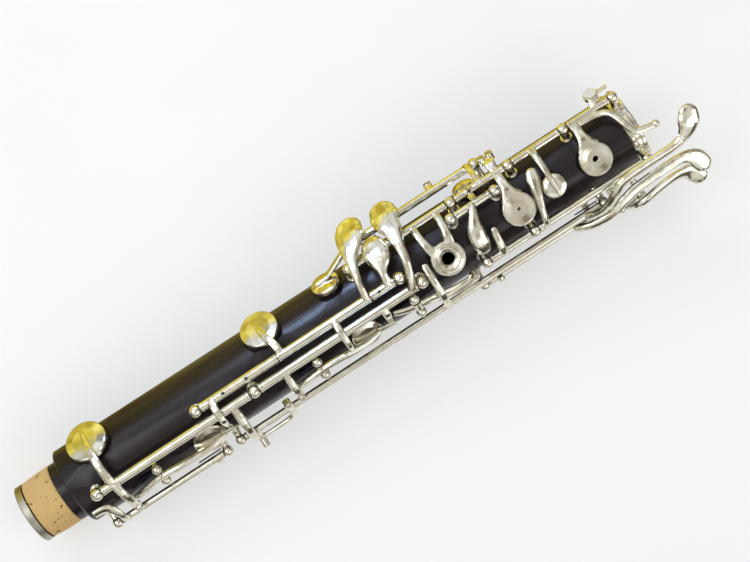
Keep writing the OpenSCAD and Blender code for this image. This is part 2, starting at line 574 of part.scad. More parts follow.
module rocker_hub(k) at(k[0], k[1], rock_h) rotate([90, 0, 0])
    cylinder(h = 2 * hub_half, r = 1.5, center = true);
module rocker_pin_hole(k) at(k[0], k[1], rock_h) rotate([90, 0, 0])
    cylinder(h = 8, r = pin_r + run_gap, center = true);

module c_sharp_rocker() color(silver) difference() {
    union() {
        cup(c_sharp_hole);
        rocker_hub(rock_c_sharp);
        limb([[35.4, 50, 16.4, 2.8, 1.6], [41, 41, 17.2, 2.6, 2.2], [47.4, 35, 17.6, 2.6, 2.8],
            [54, 35, 18, 2.6, 3], [61, 37, 18, 2.6, 3], [68.2, 38, 17.7, 2.2, 2.6],
            [73.4, 37, 17.1, 1.2, 1.4]]);
        limb([[72.6, 35, 16.8, 2.6, 1], [77.4, 38, 17, 2.2, 0.9]]);
    }
    rocker_pin_hole(rock_c_sharp);
    pad_room(c_sharp_hole);
}
module c_sharp_pad() pad(c_sharp_hole);

module e_flat_rocker() color(silver) difference() {
    union() {
        cup(e_flat_hole);
        rocker_hub(rock_e_flat);
        limb([[100.8, 40, 16.8, 2.8, 1.6], [106, 37, 17.2, 2.6, 2.2], [113.4, 32, 17.6, 2.6, 2.8],
            [119, 31, 17.9, 2.6, 3], [126, 34, 17.9, 2.6, 3], [132.4, 36, 17.6, 2.2, 2.6],
            [137.4, 34.5, 17, 1.2, 1.4]]);
        limb([[136.8, 33, 16.8, 2.6, 1], [143.6, 37, 17, 2, 0.9]]);
    }
    rocker_pin_hole(rock_e_flat);
    pad_room(e_flat_hole);
}
module e_flat_pad() pad(e_flat_hole);

module transfer_rocker() color(silver) difference() {
    union() {
        rocker_hub(rock_transfer);
        limb([[144.4, 26, 15.9, 2.4, 1.2], [148.4, 29, 16.8, 2.8, 1.5], [152.9, 32, 17.2, 3.2, 1.9],
            [158, 36, 17.3, 4.2, 1.9], [163.5, 42.5, 17.2, 4.8, 1.9], [169, 47.5, 17, 5, 1.8],
            [173, 47, 16.9, 4.4, 1.6], [175, 43.6, 16.8, 3.4, 1.4]]);
        screw_barrel(transfer_screw_at[0], transfer_screw_at[1], 15.8, 18.6);
    }
    rocker_pin_hole(rock_transfer);
    screw_hole(transfer_screw_at[0], transfer_screw_at[1], 15.8, 18.6);
}
module transfer_screw() radial_screw(transfer_screw_at[0], transfer_screw_at[1], 15.6, 18.6);

// ---------- levers ----------

module trill_lever() color(silver) difference() {
    union() {
        tube(ax_d, after(200.6, ax_d), before(246.4, ax_d));
        limb([[205, 32, 19, 2.6, 2], [205.4, 22, 19.6, 2.3, 1.8], [206.4, 8, 19.6, 2.4, 1.6],
            [207.8, -8, 19.3, 3.4, 1.3], [209, -20, 19.3, 4.8, 1.2], [209.6, -26, 19.5, 4.2, 1.1]],
            far_round = true, dome = 0.12);
    }
    tube_bore(ax_d, after(200.6, ax_d), before(246.4, ax_d));
}
module f_link_lever() color(silver) difference() {
    union() {
        tube(ax_d, after(181, ax_d), before(200.6, ax_d));
        limb([[187.6, 32, 18.9, 3, 2], [187.8, 22, 19.2, 2.8, 1.8], [188.2, 10, 18.9, 2.6, 1.6],
            [188.6, 2, 18.5, 2.4, 1.4]], far_round = true);
    }
    tube_bore(ax_d, after(181, ax_d), before(200.6, ax_d));
}
module left_b_lever() color(silver) difference() {
    union() {
        tube(ax_c, after(76.4, ax_c), before(226.4, ax_c));
        limb([[81.8, 58, 19.4, 2.4, 2], [82, 65, 19.8, 2.4, 1.4], [82.4, 73, 21, 2.8, 1.6]]);
        limb([[97, 57, 19.8, 2.4, 2], [97, 49, 20, 2.8, 1.8], [97, 43, 19.8, 3, 1.7]]);
        limb([[97, 58, 19.8, 2.4, 2], [96.6, 66, 20.6, 2.2, 1.8], [94, 71, 21.2, 1.8, 1.7],
            [89, 72.5, 21.4, 1.7, 1.7], [83, 73, 21.4, 1.7, 1.7]]);
        for (s = LEFT_B_SCREWS) screw_barrel(s[0], s[1], s[2], s[3]);
        limb([[161.9, 57, 20, 2.4, 2], [162, 44, 20.9, 2.6, 1.8], [162, 26, 21, 2.8, 1.7],
            [162, 8, 20.2, 2.6, 1.6], [162, -6, 19.2, 2.4, 1.4]], far_round = true);
        limb([[219, 57, 19.8, 3.2, 2.2], [223, 51, 21.8, 3.4, 2], [227, 42, 23, 3.6, 1.9],
            [231, 31, 23.5, 3.8, 1.9], [235, 25, 23.6, 3.8, 1.9], [244, 24, 23.6, 3.6, 1.9],
            [254, 24, 23.6, 3.4, 1.9], [258.4, 21.5, 23.6, 4, 1.7], [261.4, 17, 23.8, 6.2, 1.3],
            [263.4, 11, 24, 8, 1.2], [264.6, 5, 24, 7.2, 1.1]], far_round = true, dome = 0.13);
    }
    tube_bore(ax_c, after(76.4, ax_c), before(226.4, ax_c));
    for (s = LEFT_B_SCREWS) screw_hole(s[0], s[1], s[2], s[3]);
}
module left_b_screws() for (s = LEFT_B_SCREWS) radial_screw(s[0], s[1], s[2] - 0.3, s[3]);
module left_f_lever() color(silver) difference() {
    union() {
        tube(ax_lf, after(176.6, ax_lf), before(221, ax_lf));
        limb([[182.6, 75, 20, 2.6, 2], [182.6, 66, 21.6, 2.4, 1.7], [182.6, 57, 22, 2.4, 1.5]],
            far_round = true);
        limb([[214, 75, 20.2, 3, 2.2], [219, 69, 22.4, 3.2, 2], [226, 61, 23.6, 3.6, 1.9],
            [233, 54, 22.6, 4, 1.9], [240, 51, 21.7, 4, 1.9], [254, 50, 21.6, 4, 1.9],
            [258.6, 53, 22, 5, 1.6], [261.2, 57, 23.4, 7, 1.3], [262.4, 61, 25.6, 7, 1.1]],
            far_round = true, lean = 45, dome = 0.1);
    }
    tube_bore(ax_lf, after(176.6, ax_lf), before(221, ax_lf));
}
module left_e_flat_lever() color(silver) difference() {
    union() {
        tube(ax_le, after(231.6, ax_le), before(240.2, ax_le));
        limb([[234.6, 85, 24.6, 2.8, 2.2], [236.4, 78, 25.4, 3.2, 2], [240.4, 73, 25.2, 3.2, 1.9],
            [246, 73, 24.4, 3.4, 1.9], [252, 75, 24, 3.6, 1.8], [256, 78, 24.4, 5, 1.5],
            [258.8, 80, 25.6, 7.2, 1.3], [260.4, 81, 27.8, 7.4, 1.1]], far_round = true, lean = 50, dome = 0.1);
    }
    tube_bore(ax_le, after(231.6, ax_le), before(240.2, ax_le));
}
module bell_lever() color(silver) difference() {
    union() {
        tube(ax_bell, after(24.6, ax_bell), before(70.2, ax_bell));
        limb([[28.6, 63, 20, 2.6, 2], [28.4, 52, 20.2, 2.4, 1.8], [27.8, 42, 19, 2.8, 1.6],
            [26, 33, 17.6, 4, 1.5], [23.6, 30, 17.2, 3.6, 1.4], [20.6, 30, 17, 3.2, 1.3]]);
        limb([[66, 65, 20, 2.4, 2], [66, 74, 20.6, 2.6, 1.7]], far_round = true);
    }
    tube_bore(ax_bell, after(24.6, ax_bell), before(70.2, ax_bell));
}

wood_body();
tenon_cork();
tenon_ring();
socket_ring();
thumb_rest();
thumb_rest_screws();
posts(STACK_POSTS);  // stack_posts
posts(SIDE_POSTS);  // side_posts
posts(PINKY_POSTS);  // pinky_posts
rocker_posts();
posts(LEVER_POSTS);  // lever_posts
stack_hinge_rod();
side_hinge_rods();
pinky_hinge_rod();
rocker_hinge_screws();
lever_hinge_rods();
needle_springs();
rocker_springs();
f_sharp_key();
f_sharp_pad();
bridge_cork();
vent_key();
vent_pad();
e_key();
e_pad();
e_key_screws();
d_ring_key();
d_pad();
f_key();
f_pad();
f_resonance_key();
f_resonance_pad();
f_resonance_screw();
low_c_key();
low_c_pad();
c_sharp_touch();
c_sharp_arm();
c_sharp_core_rod();
c_sharp_pins();
c_sharp_rocker();
c_sharp_pad();
e_flat_touch();
e_flat_screw();
e_flat_rocker();
e_flat_pad();
low_b_key();
low_b_pad();
low_b_screw();
transfer_rocker();
transfer_screw();
trill_lever();
f_link_lever();
left_b_lever();
left_b_screws();
left_f_lever();
left_e_flat_lever();
bell_lever();
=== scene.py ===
"""An oboe's lower joint: polished silver keys on dark wood, on a pale table."""

import json
import math

import bpy
import numpy as np
from mathutils import Matrix, Vector, noise


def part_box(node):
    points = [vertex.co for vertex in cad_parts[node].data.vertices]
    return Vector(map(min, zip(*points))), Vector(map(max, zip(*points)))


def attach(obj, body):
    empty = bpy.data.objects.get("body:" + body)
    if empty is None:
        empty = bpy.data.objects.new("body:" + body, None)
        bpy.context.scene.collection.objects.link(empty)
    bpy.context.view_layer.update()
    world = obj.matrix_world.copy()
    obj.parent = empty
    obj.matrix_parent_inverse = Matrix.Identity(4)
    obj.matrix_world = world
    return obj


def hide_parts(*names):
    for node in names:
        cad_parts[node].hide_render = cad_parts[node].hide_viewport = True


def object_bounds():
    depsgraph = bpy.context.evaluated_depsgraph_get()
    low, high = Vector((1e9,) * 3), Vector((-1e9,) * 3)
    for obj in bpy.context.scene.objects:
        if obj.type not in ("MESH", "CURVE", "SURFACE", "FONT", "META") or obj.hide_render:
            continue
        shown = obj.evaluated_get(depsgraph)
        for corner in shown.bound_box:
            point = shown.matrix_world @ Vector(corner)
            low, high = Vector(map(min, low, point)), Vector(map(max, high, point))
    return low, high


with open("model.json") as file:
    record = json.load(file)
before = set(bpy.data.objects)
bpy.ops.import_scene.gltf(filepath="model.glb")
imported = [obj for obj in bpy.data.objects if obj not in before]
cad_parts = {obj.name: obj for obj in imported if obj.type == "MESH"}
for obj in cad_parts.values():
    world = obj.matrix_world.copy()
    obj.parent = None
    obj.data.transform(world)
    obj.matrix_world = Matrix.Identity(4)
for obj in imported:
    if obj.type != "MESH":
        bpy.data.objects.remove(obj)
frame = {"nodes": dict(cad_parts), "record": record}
cad_low, cad_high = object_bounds()
nodes = frame["nodes"]
slots = {p["node"]: p["material_slot"] for p in frame["record"]["subparts"]}
body_of = {n: b for b, names in frame["record"]["behaviour"]["bodies"].items() for n in names}
MM = 0.001

scene = bpy.context.scene
scene.view_settings.view_transform = "Standard"


# ---------- materials ----------

MIX_SOCKETS = (0, 6, 7)     # of a mix node set to colours: factor, first and second colour
MIX_RESULT = 2


def fill_stops(ramp, stops):
    """Sets a colour ramp's (position, colour) stops."""
    elements = ramp.color_ramp.elements
    while len(elements) < len(stops):
        elements.new(0.5)
    for element, (position, color) in zip(elements, stops):
        element.position = position
        element.color = (*color, 1.0)


class Shader:
    """A node material under construction, with short calls for the nodes it uses."""

    def __init__(self, name):
        self.material = bpy.data.materials.new(name)
        self.material.use_nodes = True
        self.tree = self.material.node_tree
        self.bsdf = self.tree.nodes["Principled BSDF"]
        self.place = self.node("ShaderNodeTexCoord").outputs["Object"]

    def node(self, kind, **settings):
        made = self.tree.nodes.new(kind)
        for key, value in settings.items():
            setattr(made, key, value)
        return made

    def join(self, source, target):
        self.tree.links.new(source, target)

    def stretch(self, x, y, z):
        """The object's own coordinates, scaled along each axis, in cycles per metre."""
        mapping = self.node("ShaderNodeMapping")
        mapping.inputs["Scale"].default_value = (x, y, z)
        self.join(self.place, mapping.inputs["Vector"])
        return mapping.outputs["Vector"]

    def noise(self, vector, detail=4.0, roughness=0.55):
        made = self.node("ShaderNodeTexNoise")
        made.inputs["Scale"].default_value = 1.0
        made.inputs["Detail"].default_value = detail
        made.inputs["Roughness"].default_value = roughness
        self.join(vector, made.inputs["Vector"])
        return made.outputs["Fac"]

    def cells(self, vector):
        made = self.node("ShaderNodeTexVoronoi")
        made.inputs["Scale"].default_value = 1.0
        self.join(vector, made.inputs["Vector"])
        return made.outputs["Distance"]

    def ramp(self, value, stops):
        made = self.node("ShaderNodeValToRGB")
        fill_stops(made, stops)
        self.join(value, made.inputs["Fac"])
        return made.outputs["Color"]

    def spread(self, value, low, high, start=0.3, end=0.7):
        """Maps a noise value to the range low..high."""
        made = self.node("ShaderNodeMapRange")
        made.inputs["From Min"].default_value = start
        made.inputs["From Max"].default_value = end
        made.inputs["To Min"].default_value = low
        made.inputs["To Max"].default_value = high
        self.join(value, made.inputs["Value"])
        return made.outputs["Result"]

    def axis(self, letter, low, high):
        """The object's own coordinate along one axis, as 0 at low and 1 at high."""
        parts = self.node("ShaderNodeSeparateXYZ")
        self.join(self.place, parts.inputs[0])
        return self.spread(parts.outputs[letter], 0.0, 1.0, low, high)

    def mix(self, factor, a, b, blend="MIX"):
        made = self.node("ShaderNodeMix", data_type="RGBA", blend_type=blend)
        for key, value in zip(MIX_SOCKETS, (factor, a, b)):
            socket = made.inputs[key]
            if isinstance(value, bpy.types.NodeSocket):
                self.join(value, socket)
            else:
                socket.default_value = value if isinstance(value, float) else (*value, 1.0)
        return made.outputs[MIX_RESULT]

    def multiply(self, a, b):
        return self.mix(1.0, a, b, "MULTIPLY")

    def add(self, a, b):
        return self.mix(1.0, a, b, "ADD")

    def bump(self, height, strength, distance):
        made = self.node("ShaderNodeBump")
        made.inputs["Strength"].default_value = strength
        made.inputs["Distance"].default_value = distance
        self.join(height, made.inputs["Height"])
        if self.bsdf.inputs["Normal"].links:
            self.join(self.bsdf.inputs["Normal"].links[0].from_socket, made.inputs["Normal"])
        self.join(made.outputs["Normal"], self.bsdf.inputs["Normal"])

    def set(self, **inputs):
        for key, value in inputs.items():
            socket = self.bsdf.inputs[key.replace("_", " ")]
            if isinstance(value, bpy.types.NodeSocket):
                self.join(value, socket)
            else:
                socket.default_value = value
        return self.material


def crevices(shader, distance):
    """1 on open surfaces, falling to 0 in narrow gaps."""
    made = shader.node("ShaderNodeAmbientOcclusion", samples=4)
    made.inputs["Distance"].default_value = distance
    return made.outputs["AO"]


def rounded_edges(shader, radius):
    """Softens the look of sharp edges and soldered joins."""
    made = shader.node("ShaderNodeBevel", samples=4)
    made.inputs["Radius"].default_value = radius
    shader.join(made.outputs["Normal"], shader.bsdf.inputs["Normal"])


def metal(name, bright, warm, rough_low, rough_high, scratch, edge):
    """Polished plate: faint tarnish clouds, darker in corners, with fine handling marks."""
    s = Shader(name)
    rounded_edges(s, edge)
    clouds = s.noise(s.stretch(220, 220, 220), detail=5)
    color = s.ramp(clouds, [(0.3, warm), (0.62, bright)])
    open_side = s.ramp(crevices(s, 1.0 * MM), [(0.2, (0.40, 0.31, 0.18)), (0.65, (1.0, 1.0, 1.0))])
    color = s.multiply(color, open_side)
    fine = s.noise(s.stretch(900, 2600, 2600), detail=3)
    s.bump(fine, scratch, 0.02 * MM)
    s.bump(s.noise(s.stretch(420, 420, 420), detail=1), 0.12, 0.12 * MM)
    rough = s.spread(s.noise(s.stretch(340, 340, 340), detail=6), rough_low, rough_high)
    return s.set(Base_Color=color, Metallic=1.0, Roughness=rough)


def wood():
    """Dark, dense wood: fine pores and streaks along the bore under an oiled surface."""
    s = Shader("blackwood")
    streaks = s.noise(s.stretch(14, 260, 260), detail=7, roughness=0.62)
    color = s.ramp(streaks, [(0.3, (0.006, 0.004, 0.006)), (0.5, (0.014, 0.009, 0.011)),
                             (0.72, (0.038, 0.022, 0.021))])
    patches = s.noise(s.stretch(9, 30, 30), detail=2)
    color = s.mix(s.spread(patches, 0.0, 0.5), color, (0.018, 0.011, 0.017))
    pores = s.noise(s.stretch(90, 1900, 1900), detail=3)
    s.bump(s.ramp(pores, [(0.3, (0, 0, 0)), (0.46, (1, 1, 1))]), 0.35, 0.05 * MM)
    rough = s.spread(streaks, 0.20, 0.30)
    return s.set(Base_Color=color, Roughness=rough, Specular_IOR_Level=0.31)


def cork(name, dark, mid, light):
    """Sheet cork: grains with darker seams and scattered dark pits."""
    s = Shader(name)
    grain = s.cells(s.stretch(1100, 1100, 1100))
    color = s.mix(0.5, s.ramp(grain, [(0.1, light), (0.8, mid)]), mid)
    clouds = s.noise(s.stretch(160, 160, 160), detail=6)
    color = s.mix(s.spread(clouds, 0.0, 0.7), color, mid)
    pits = s.noise(s.stretch(420, 640, 640), detail=2)
    mask = s.ramp(pits, [(0.3, (1, 1, 1)), (0.37, (0, 0, 0))])
    color = s.mix(mask, color, dark)
    s.bump(grain, 0.1, 0.08 * MM)
    s.bump(pits, 0.3, 0.2 * MM)
    return s.set(Base_Color=color, Roughness=s.spread(clouds, 0.7, 0.9), Specular_IOR_Level=0.25)


def skin():
    """Cream bladder skin over felt, with faint fibres."""
    s = Shader("pad_skin")
    fibres = s.noise(s.stretch(500, 1500, 500), detail=6)
    color = s.ramp(fibres, [(0.3, (0.62, 0.53, 0.38)), (0.65, (0.86, 0.80, 0.68))])
    s.bump(fibres, 0.3, 0.06 * MM)
    return s.set(Base_Color=color, Roughness=s.spread(fibres, 0.38, 0.6), Subsurface_Weight=0.15,
                 Subsurface_Scale=0.6 * MM)


def table_top():
    """White paper: a little of its light comes from within, as in a thin bright sheet."""
    s = Shader("table_top")
    clouds = s.noise(s.stretch(9, 9, 9), detail=4)
    color = s.ramp(clouds, [(0.3, (0.50, 0.50, 0.505)), (0.7, (0.53, 0.53, 0.53))])
    s.bump(s.noise(s.stretch(600, 600, 600), detail=2), 0.05, 0.1 * MM)
    return s.set(Base_Color=color, Roughness=s.spread(clouds, 0.5, 0.6), Specular_IOR_Level=0.2,
                 Emission_Color=(0.97, 0.985, 1.0, 1.0), Emission_Strength=0.455)


# By the record's material slots; metals take two tints, the least and most roughness, how deep
# their fine scratches are and how round their edges look.
MATERIALS = {
    "silver": metal("silver_plate", (0.84, 0.815, 0.73), (0.70, 0.65, 0.52), 0.08, 0.21, 0.06, 0.55 * MM),
    "steel": metal("turned_steel", (0.68, 0.67, 0.63), (0.56, 0.53, 0.46), 0.16, 0.32, 0.15, 0.1 * MM),
    "blued_steel": metal("blued_steel", (0.05, 0.06, 0.10), (0.03, 0.03, 0.05), 0.25, 0.4, 0.1, 0.05 * MM),
    "wood": wood(),
    "cork": cork("tenon_cork_grain", (0.16, 0.085, 0.035), (0.64, 0.425, 0.175), (0.78, 0.55, 0.26)),
    "white_cork": cork("pale_cork", (0.5, 0.42, 0.3), (0.78, 0.74, 0.66), (0.88, 0.85, 0.78)),
    "pad": skin(),
}
TIP_RING = metal("brushed_ring", (0.46, 0.44, 0.38), (0.33, 0.31, 0.25), 0.34, 0.46, 0.35, 0.2 * MM)
PINS = metal("pin_steel", (0.09, 0.085, 0.08), (0.05, 0.045, 0.04), 0.3, 0.5, 0.2, 0.05 * MM)
OWN_MATERIAL = {"tenon_ring": TIP_RING, "c_sharp_pins": PINS}


def dress(obj, material):
    """Gives a mesh one material, in place of any it had."""
    obj.data.materials.clear()
    obj.data.materials.append(material)


# ---------- shapes ----------

def shade_by_angle(obj, degrees):
    """Smooth shading that breaks at edges sharper than an angle."""
    obj.data.shade_smooth()
    obj.data.set_sharp_from_angle(angle=math.radians(degrees))


def lathe(name, rings, turns, origin, axis):
    """A turned closed mesh. rings(angle) gives its section there as (radius, height) pairs.

    Heights run along the axis from the origin."""
    to_axis = axis.to_track_quat("Z", "Y").to_matrix()
    verts, faces = [], []
    for k in range(turns):
        angle = 2 * math.pi * k / turns
        side = to_axis @ Vector((math.cos(angle), math.sin(angle), 0))
        profile = rings(angle)
        verts += [origin + side * radius + axis * height for radius, height in profile]
    count = len(verts) // turns
    for k in range(turns):
        here, there = k * count, (k + 1) % turns * count
        for i in range(count):
            j = (i + 1) % count
            faces.append((here + i, there + i, there + j, here + j))
    mesh = bpy.data.meshes.new(name)
    mesh.from_pydata(verts, [], faces)
    mesh.validate()
    obj = bpy.data.objects.new(name, mesh)
    scene.collection.objects.link(obj)
    mesh.shade_smooth()
    return obj


def stand_for(piece, node):
    """The piece takes a CAD node's place, body and material."""
    dress(piece, MATERIALS[slots[node]])
    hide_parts(node)
    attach(piece, body_of[node])


RIM_SHARE = 0.97        # points beyond this share of the radius are on a disc's rim
CENTRING_PASSES = 3
HOLE_SHARE = 0.8        # a disc whose innermost point lies within this share of the radius has a hole


def disc_shape(obj):
    """Middle, outward axis, height, radius and hole radius of a disc-shaped CAD node."""
    points = np.array([v.co for v in obj.data.vertices])
    middle = (points.min(0) + points.max(0)) / 2
    for _ in range(CENTRING_PASSES):
        directions = np.linalg.svd(points - middle, full_matrices=False)[2]
        axis = directions[2]
        heights = (points - middle) @ axis
        flat = (points - middle) - np.outer(heights, axis)
        radii = np.linalg.norm(flat, axis=1)
        rim = flat[radii > RIM_SHARE * radii.max()]
        middle = middle + (rim @ directions[:2].T).mean(0) @ directions[:2]
        middle = middle + axis * (heights.max() + heights.min()) / 2
    outward = np.array([0, middle[1], middle[2]])
    axis = axis * np.sign(axis @ outward)
    heights = (points - middle) @ axis
    radii = np.linalg.norm((points - middle) - np.outer(heights, axis), axis=1)
    hole = radii.min() if radii.min() < HOLE_SHARE * radii.max() else 0.0
    return Vector(middle), Vector(axis), heights.max() - heights.min(), radii.max(), hole


def ripple(seed, *place):
    """Smooth noise from -1 to 1, different for each seed."""
    return noise.noise(Vector(place) + Vector((seed, 0.37 * seed, 0)))


def arc_steps(start, end, count):
    """Angles in radians from start to end, both in degrees."""
    return [math.radians(start + (end - start) * k / count) for k in range(count + 1)]


PAD_TURNS, SLEEVE_TURNS, FACING_TURNS = 96, 260, 72
SKIN_GAP = 0.02 * MM        # left between a soft piece's mesh and the solid it stands for


def pad_piece(node, seed):
    """A key pad: skin drawn over felt, rounded at the rim, with the tone hole's ring pressed into it."""
    middle, axis, height, radius, hole = disc_shape(nodes[node])
    edge = 0.42 * MM            # radius of the rounded rim
    ring = radius * 0.66        # of the tone hole's edge, which dents the skin
    ring_depth, ring_width = 0.14 * MM, 0.45 * MM
    inner = max(hole, 0.05 * MM)        # a whole pad closes to a point this small
    face_steps = 14

    def rings(angle):
        turned = math.cos(angle), math.sin(angle)
        pucker = 0.035 * MM * ripple(seed, 9 * turned[0], 9 * turned[1], 0)
        out = []
        for k in range(face_steps + 1):
            r = inner + (radius - edge - inner) * k / face_steps
            dent = ring_depth * math.exp(-((r - ring) / ring_width) ** 2)
            crease = 0.02 * MM * ripple(seed, 900 * r * turned[0], 900 * r * turned[1], 3)
            out.append((r, dent + crease + 0.03 * MM))
        for turn in arc_steps(-90, 0, 5)[1:]:
            swell = edge - 0.02 * MM + pucker
            out.append((radius - edge + swell * math.cos(turn), edge + edge * math.sin(turn)))
        out.append((radius - 0.03 * MM + pucker, height * 0.6))
        out.append((radius - 0.03 * MM, height - SKIN_GAP))
        out.append((inner, height - SKIN_GAP))
        return out

    foot = middle - axis * height / 2
    stand_for(lathe(node + "_skin", rings, PAD_TURNS, foot, axis), node)


def cork_sleeve(node):
    """Tenon cork: a lapped sheet, worn thinner towards the tip, with open pits and soft edges."""
    low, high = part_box(node)
    length, radius = high.x - low.x, high.y
    wall = 1.55 * MM            # the sheet's thickness
    soft = 0.7 * MM             # radius of the worn edges
    lap = math.radians(118)     # where the sheet's ends meet
    steps = 48

    def surface(angle, t):
        """Radius at an angle and a share of the length, 0 at the tip."""
        turned = math.cos(angle), math.sin(angle)
        wear = 0.38 * MM * (1 - t) ** 2.2
        rolls = 0.07 * MM * ripple(2, 3 * turned[0], 3 * turned[1], 4 * t)
        pit = ripple(5, 26 * turned[0], 26 * turned[1], 22 * t)
        grain = 0.03 * MM * ripple(8, 60 * turned[0], 60 * turned[1], 50 * t)
        seam = math.exp(-((angle - lap - 0.12 * t) / 0.012) ** 2)
        worn = radius - 0.1 * MM - wear + rolls + grain
        return worn - 0.35 * MM * max(pit - 0.42, 0) - 0.1 * MM * seam

    def rings(angle):
        ragged = 0.12 * MM * ripple(11, 12 * math.cos(angle), 12 * math.sin(angle), 0)
        out = [(radius - wall, SKIN_GAP)]
        for turn in arc_steps(0, 90, 4)[1:]:
            rise = soft * (1 - math.cos(turn)) + 0.1 * MM + ragged
            out.append((surface(angle, 0) - soft * (1 - math.sin(turn)), rise))
        for k in range(1, steps):
            t = k / steps
            rise = soft + 0.15 * MM + (length - 2 * soft - 0.3 * MM) * t + ragged * (1 - t)
            out.append((surface(angle, t), rise))
        for turn in arc_steps(90, 0, 4)[:-1]:
            rise = length - soft * (1 - math.cos(turn)) - 0.05 * MM
            out.append((surface(angle, 1) - soft * (1 - math.sin(turn)), rise))
        out.append((radius - wall, length - SKIN_GAP))
        return out

    tip, along = Vector((low.x, 0, 0)), Vector((1, 0, 0))
    stand_for(lathe(node + "_sheet", rings, SLEEVE_TURNS, tip, along), node)


def cork_disc(node):
    """A thin cork facing with a soft, slightly uneven rim."""
    middle, axis, height, radius, _ = disc_shape(nodes[node])
    edge = 0.22 * MM            # radius of the rounded rim

    def rings(angle):
        uneven = 0.05 * MM * ripple(3, 5 * math.cos(angle), 5 * math.sin(angle), 0)
        rim = radius - 0.06 * MM + uneven
        out = [(SKIN_GAP, 0), (rim * 0.5, 0), (rim - edge, 0)]
        for turn in arc_steps(-70, 0, 3):
            out.append((rim - edge + edge * math.cos(turn), edge + edge * math.sin(turn)))
        for turn in arc_steps(0, 90, 4):
            out.append((rim - edge + edge * math.cos(turn), height - edge + edge * math.sin(turn)))
        return out + [(rim * 0.5, height), (SKIN_GAP, height)]

    foot = middle - axis * height / 2
    stand_for(lathe(node + "_facing", rings, FACING_TURNS, foot, axis), node)


LOFTED = ("_key", "_touch", "_lever", "_rocker", "_arm")    # ends of the names of keys with curved arms
LOFTED_SHARP, SHARP = 62, 40        # edges sharper than this, in degrees, stay sharp
for name, obj in nodes.items():
    dress(obj, OWN_MATERIAL.get(name) or MATERIALS[slots[name]])
    shade_by_angle(obj, LOFTED_SHARP if name.endswith(LOFTED) else SHARP)
for seed, name in enumerate(sorted(n for n in nodes if n.endswith("_pad"))):
    pad_piece(name, seed + 1)
cork_sleeve("tenon_cork")
cork_disc("bridge_cork")


# ---------- studio ----------

ROLL_ON_TABLE = 0.1     # how far the joint is rolled over, as a slope
SHOULDER_X = 0.018      # the wood's shoulder at the tenon
TABLE_SIZE = 4
TABLE_GAP = 0.15 * MM


def resting_plane():
    """The table, touching the joint's wooden end and its thumb rest: its normal and its distance."""
    shoulder = Vector((SHOULDER_X, 0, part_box("wood_body")[0].z))
    hook = Vector((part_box("thumb_rest")[1].x, 0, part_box("thumb_rest")[0].z))
    run = hook - shoulder
    normal = Vector((-run.z / run.x, ROLL_ON_TABLE, 1)).normalized()
    lowest = min(min(v.co @ normal for v in obj.data.vertices) for obj in nodes.values())
    return normal, lowest - TABLE_GAP


table_up, table_at = resting_plane()
bpy.ops.mesh.primitive_plane_add(size=TABLE_SIZE)
floor = bpy.context.object
floor.name = "table"
floor.rotation_mode = "QUATERNION"
floor.rotation_quaternion = table_up.to_track_quat("Z", "Y")
floor.location = table_up * table_at
dress(floor, table_top())


def area_light(name, offset, width, height, power, color):
    """A soft box at an offset from the joint's middle, facing it."""
    centre = (cad_low + cad_high) / 2
    data = bpy.data.lights.new(name, "AREA")
    data.shape, data.size, data.size_y = "RECTANGLE", width, height
    data.energy, data.color = power, color
    light = bpy.data.objects.new(name, data)
    scene.collection.objects.link(light)
    light.location = centre + Vector(offset)
    light.rotation_mode = "QUATERNION"
    light.rotation_quaternion = (-Vector(offset)).to_track_quat("-Z", "Y")


def table_height(x, y):
    """Height of the table's surface at a place."""
    return (table_at - table_up.x * x - table_up.y * y) / table_up.z


# The card: where it starts on the table, where it stands up, how high and how long it is
CARD_NEAR = 0.014
CARD_FAR = cad_high.y + 0.07
CARD_HEIGHT = 0.125
CARD_X = (-0.12, 0.34)
GOLD_STOPS = [(0.34, (0.36, 0.27, 0.01)), (0.5, (0.95, 0.82, 0.10)), (0.64, (1.2, 1.12, 0.38))]
GOLD_BY_HEIGHT = [(0.0, (0.95, 0.9, 0.75)), (0.12, (0.55, 0.5, 0.35)), (0.2, (1.0, 1.0, 1.0)),
                  (0.34, (1.0, 1.0, 1.0)), (0.43, (0.0, 0.0, 0.0))]
GOLD_BY_REACH = [(0.0, (0.52, 0.46, 0.32)), (0.4, (0.95, 0.92, 0.80)), (0.8, (1.0, 1.0, 1.0))]
WALL_STOPS = [(0.36, (0.16, 0.15, 0.14)), (0.5, (0.62, 0.62, 0.62)), (0.62, (0.85, 0.86, 0.88))]
WALL_BY_HEIGHT = [(0.34, (0, 0, 0)), (0.45, (1, 1, 1))]
# The window on it, along and up
WINDOW_X = (0.094, 0.160)
WINDOW_Z = (0.056, 0.092)
WINDOW_STOPS = [(0.0, (0, 0, 0)), (0.3, (1, 1, 1)), (0.85, (1, 1, 1)), (1.0, (0, 0, 0))]
WINDOW_COLOR = (11.0, 17.0, 27.0)


